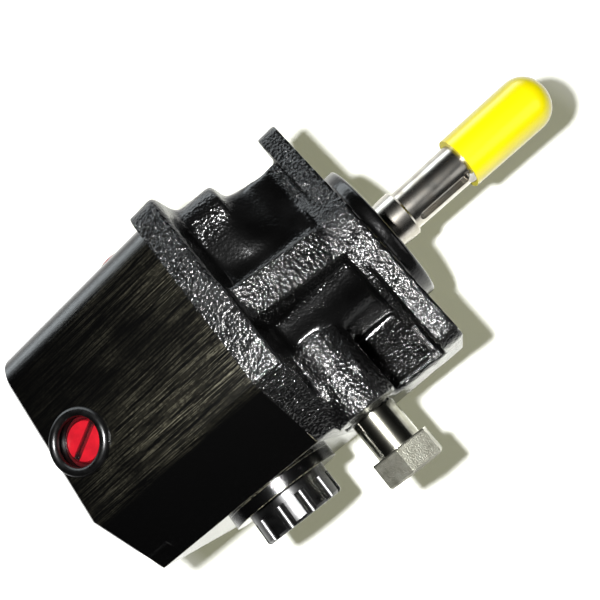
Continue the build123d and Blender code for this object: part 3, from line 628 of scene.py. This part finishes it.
class MOTOR_OT_castings(bpy.types.Operator):
    """Make the three painted iron sections of the motor's body, and the rear port's rim"""

    bl_idname = "motor.castings"
    bl_label = "Castings"

    def execute(self, context):
        cast_skin("shaft_end_cover", "cast_shaft_end_cover")
        dress(painted_milled, "gear_housing", "port_end_cover")
        rim = bpy.data.objects.new("rear_port_rim", bpy.data.meshes.new("rear_port_rim"))
        bpy.context.scene.collection.objects.link(rim)
        add_ring(rim.data, RIM_CENTRE, RIM_R, RIM_BEAD_R)
        for polygon in rim.data.polygons:
            polygon.use_smooth = True
        rim.data.materials.append(material_for(black_steel))
        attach(rim, "housing")
        return {"FINISHED"}


class MOTOR_OT_shafts(bpy.types.Operator):
    """Finish the drive shaft, key, idler, bearings and seals in steel, bronze and rubber"""

    bl_idname = "motor.shafts"
    bl_label = "Shafts and bearings"

    def execute(self, context):
        dress(
            ground_steel, "drive_shaft", "shaft_key", "idler_gear", "bearing_outer_race",
            "bearing_inner_race", "bearing_balls", "retaining_ring", "dowel_pins",
        )
        dress(
            bearing_bronze, "bush_drive_front", "bush_idler_front", "bush_drive_rear", "bush_idler_rear",
            "thrust_plate_front", "thrust_plate_rear",
        )
        dress(black_steel, "seal_carrier")
        dress(nitrile, "shaft_seal", "section_seal_front", "section_seal_rear")
        return {"FINISHED"}


class MOTOR_OT_cap(bpy.types.Operator):
    """Finish the vinyl cap on the shaft's end"""

    bl_idname = "motor.cap"
    bl_label = "Shaft cap"

    def execute(self, context):
        dress(dipped_vinyl, "shaft_cap")
        return {"FINISHED"}


class MOTOR_OT_ports(bpy.types.Operator):
    """Finish the red and black port plugs"""

    bl_idname = "motor.ports"
    bl_label = "Port plugs"

    def execute(self, context):
        dress(moulded_red, "rear_port_plug", "side_port_plug")
        dress(black_steel, "main_port_plug")
        dress(nitrile, "main_plug_seal")
        return {"FINISHED"}


class MOTOR_OT_relief(bpy.types.Operator):
    """Finish the relief cartridge and what is inside it"""

    bl_idname = "motor.relief"
    bl_label = "Relief cartridge"

    def execute(self, context):
        dress(plated_steel, "relief_cartridge")
        dress(nitrile, "relief_oring")
        dress(ground_steel, "relief_seat", "relief_poppet", "relief_spring")
        return {"FINISHED"}


class MOTOR_OT_fasteners(bpy.types.Operator):
    """Finish the tie bolts and their washers"""

    bl_idname = "motor.fasteners"
    bl_label = "Fasteners"

    def execute(self, context):
        dress(black_steel, "tie_bolts", "bolt_washers")
        return {"FINISHED"}


class MOTOR_OT_stage(bpy.types.Operator):
    """Make the pale floor, the world, the lamps and the camera"""

    bl_idname = "motor.stage"
    bl_label = "Stage"

    def execute(self, context):
        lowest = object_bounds()[0][2]
        self.floor(lowest)
        self.world()
        self.lights()
        self.camera()
        return {"FINISHED"}

    def floor(self, level):
        """Pale paper that keeps the motor's real shadow, with its glow painted olive grey near the motor as a
        painted shadow tone and white further out.
        """
        mesh = bpy.data.meshes.new("floor")
        corners = [
            (x * PAPER_REACH, y * PAPER_REACH, level) for x, y in ((-1, -1), (1, -1), (1, 1), (-1, 1))
        ]
        mesh.from_pydata(corners, [], [(0, 1, 2, 3)])
        floor = bpy.data.objects.new("floor", mesh)
        bpy.context.scene.collection.objects.link(floor)
        material, tree, shader, point = fresh_material("matt_white_paper")
        path = node(tree, "ShaderNodeLightPath")
        mirrored = node(tree, "ShaderNodeMath", MULTIPLY, i0=(path, "Is Glossy Ray"), i1=MIRRORED_PAPER)
        glow = node(
            tree, "ShaderNodeMath", {"operation": "ADD"}, i0=(path, "Is Camera Ray"), i1=(mirrored, "Value")
        )
        centred = node(
            tree, "ShaderNodeVectorMath", {"operation": "SUBTRACT"}, i0=point, i1=(*SHADOW_CENTRE, level)
        )
        away = node(tree, "ShaderNodeVectorMath", {"operation": "LENGTH"}, i0=(centred, "Vector"))
        span = node(
            tree, "ShaderNodeMapRange", Value=(away, "Value"), From_Min=SHADOW_NEAR, From_Max=SHADOW_FAR
        )
        # Painted shadow tone: the glow that the camera and reflections see is olive grey near the motor and
        # white beyond
        paper = node(
            tree, "ShaderNodeValToRGB", Fac=(span, "Result"),
            stops=((0.0, srgb(PAINTED_SHADOW_TONE)), (1.0, srgb(WHITE))),
        )
        wire(
            tree, shader, Base_Color=srgb(PAPER), Roughness=0.9, Specular_IOR_Level=0.0,
            Emission_Color=(paper, "Color"), Emission_Strength=(glow, "Value"),
        )
        mesh.materials.append(material)
        floor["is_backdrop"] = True

    def world(self):
        """Weak even light, white for the camera, and for reflections a dark room with one window."""
        world = bpy.data.worlds.new("studio")
        bpy.context.scene.world = world
        world.use_nodes = True
        tree = world.node_tree
        tree.nodes.clear()
        path = node(tree, "ShaderNodeLightPath")
        way = node(tree, "ShaderNodeSeparateXYZ", Vector=(node(tree, "ShaderNodeTexCoord"), "Generated"))
        room = node(
            tree, "ShaderNodeValToRGB", Fac=(way, "Z"),
            stops=((0.0, srgb(ROOM_AT_HORIZON)), (0.4, srgb(ROOM_ABOVE))),
        )
        # The window stands towards +Y, from just under the horizon to about 25 degrees above it
        side = node(tree, "ShaderNodeMapRange", Value=(way, "Y"), From_Min=0.6, From_Max=0.85)
        rise = node(tree, "ShaderNodeMapRange", Value=(way, "Z"), From_Min=-0.05, From_Max=0.08)
        fall = node(
            tree, "ShaderNodeMapRange", Value=(way, "Z"), From_Min=0.34, From_Max=0.56, To_Min=1, To_Max=0
        )
        pane = node(tree, "ShaderNodeMath", MULTIPLY, i0=(rise, "Result"), i1=(fall, "Result"))
        window = node(tree, "ShaderNodeMath", MULTIPLY, i0=(pane, "Value"), i1=(side, "Result"))
        strength = node(
            tree, "ShaderNodeMath", {"operation": "MULTIPLY_ADD"}, i0=(window, "Value"), i1=WINDOW_EXTRA,
            i2=1.0,
        )
        tone = node(
            tree, "ShaderNodeMix", {"data_type": "RGBA"}, i0=(window, "Value"), i6=(room, "Color"),
            i7=srgb(WINDOW_TINT),
        )
        weak = node(tree, "ShaderNodeBackground", Color=srgb(SKY_TINT), Strength=WEAK_SKY)
        seen = node(tree, "ShaderNodeBackground", Color=(tone, "Result"), Strength=(strength, "Value"))
        white = node(tree, "ShaderNodeBackground", Color=srgb(WHITE), Strength=1.0)
        lit = node(
            tree, "ShaderNodeMixShader", i0=(path, "Is Glossy Ray"), i1=(weak, "Background"),
            i2=(seen, "Background"),
        )
        mix = node(
            tree, "ShaderNodeMixShader", i0=(path, "Is Camera Ray"), i1=(lit, "Shader"),
            i2=(white, "Background"),
        )
        node(tree, "ShaderNodeOutputWorld", Surface=(mix, "Shader"))

    def lights(self):
        """Small flash beside the lens and a faint soft fill from the far side."""
        for name, place, size, power in LAMPS:
            lamp = bpy.data.lights.new(name, "AREA")
            lamp.shape = "DISK"
            lamp.size = size
            lamp.energy = power
            obj = bpy.data.objects.new(name, lamp)
            bpy.context.scene.collection.objects.link(obj)
            obj.location = place
            obj.rotation_euler = (LAMP_TARGET - place).to_track_quat("-Z", "Y").to_euler()

    def camera(self):
        """Lens above the flange, looking back along the body."""
        shape = bpy.context.scene.gear_motor_shape
        gaze = Vector(shape.gaze).normalized()
        right = gaze.cross(Vector(shape.up)).normalized()
        up = right.cross(gaze)
        data = bpy.data.cameras.new("camera")
        data.lens = shape.lens
        data.sensor_width = 36.0
        data.sensor_fit = "HORIZONTAL"
        data.shift_x = shape.shift_x
        data.shift_y = shape.shift_y
        data.clip_start = 0.01
        camera = bpy.data.objects.new("camera", data)
        bpy.context.scene.collection.objects.link(camera)
        turn = Matrix((right, up, -gaze)).transposed().to_4x4()
        camera.matrix_world = Matrix.Translation(Vector(shape.eye)) @ turn
        bpy.context.scene.camera = camera
        bpy.context.scene.view_settings.view_transform = "Standard"


STEPS = (
    MOTOR_OT_castings,
    MOTOR_OT_shafts,
    MOTOR_OT_cap,
    MOTOR_OT_ports,
    MOTOR_OT_relief,
    MOTOR_OT_fasteners,
    MOTOR_OT_stage,
)


class MOTOR_PT_panel(bpy.types.Panel):
    """Sidebar panel that lists the motor's steps"""

    bl_label = "Gear Motor"
    bl_idname = "MOTOR_PT_panel"
    bl_space_type = "VIEW_3D"
    bl_region_type = "UI"
    bl_category = "Gear Motor"

    def draw(self, context):
        for settings in (context.scene.gear_motor_finish, context.scene.gear_motor_shape):
            for key in settings.__annotations__:
                self.layout.prop(settings, key)
        for step in STEPS:
            self.layout.operator(step.bl_idname)


CLASSES = (MotorFinishSettings, MotorShapeSettings, *STEPS, MOTOR_PT_panel)


def register():
    for cls in CLASSES:
        bpy.utils.register_class(cls)
    bpy.types.Scene.gear_motor_finish = PointerProperty(type=MotorFinishSettings)
    bpy.types.Scene.gear_motor_shape = PointerProperty(type=MotorShapeSettings)


def unregister():
    del bpy.types.Scene.gear_motor_shape
    del bpy.types.Scene.gear_motor_finish
    for cls in reversed(CLASSES):
        bpy.utils.unregister_class(cls)


def main():
    register()
    bpy.ops.motor.castings()
    bpy.ops.motor.shafts()
    bpy.ops.motor.cap()
    bpy.ops.motor.ports()
    bpy.ops.motor.relief()
    bpy.ops.motor.fasteners()
    bpy.ops.motor.stage()


if __name__ == "__main__":
    main()
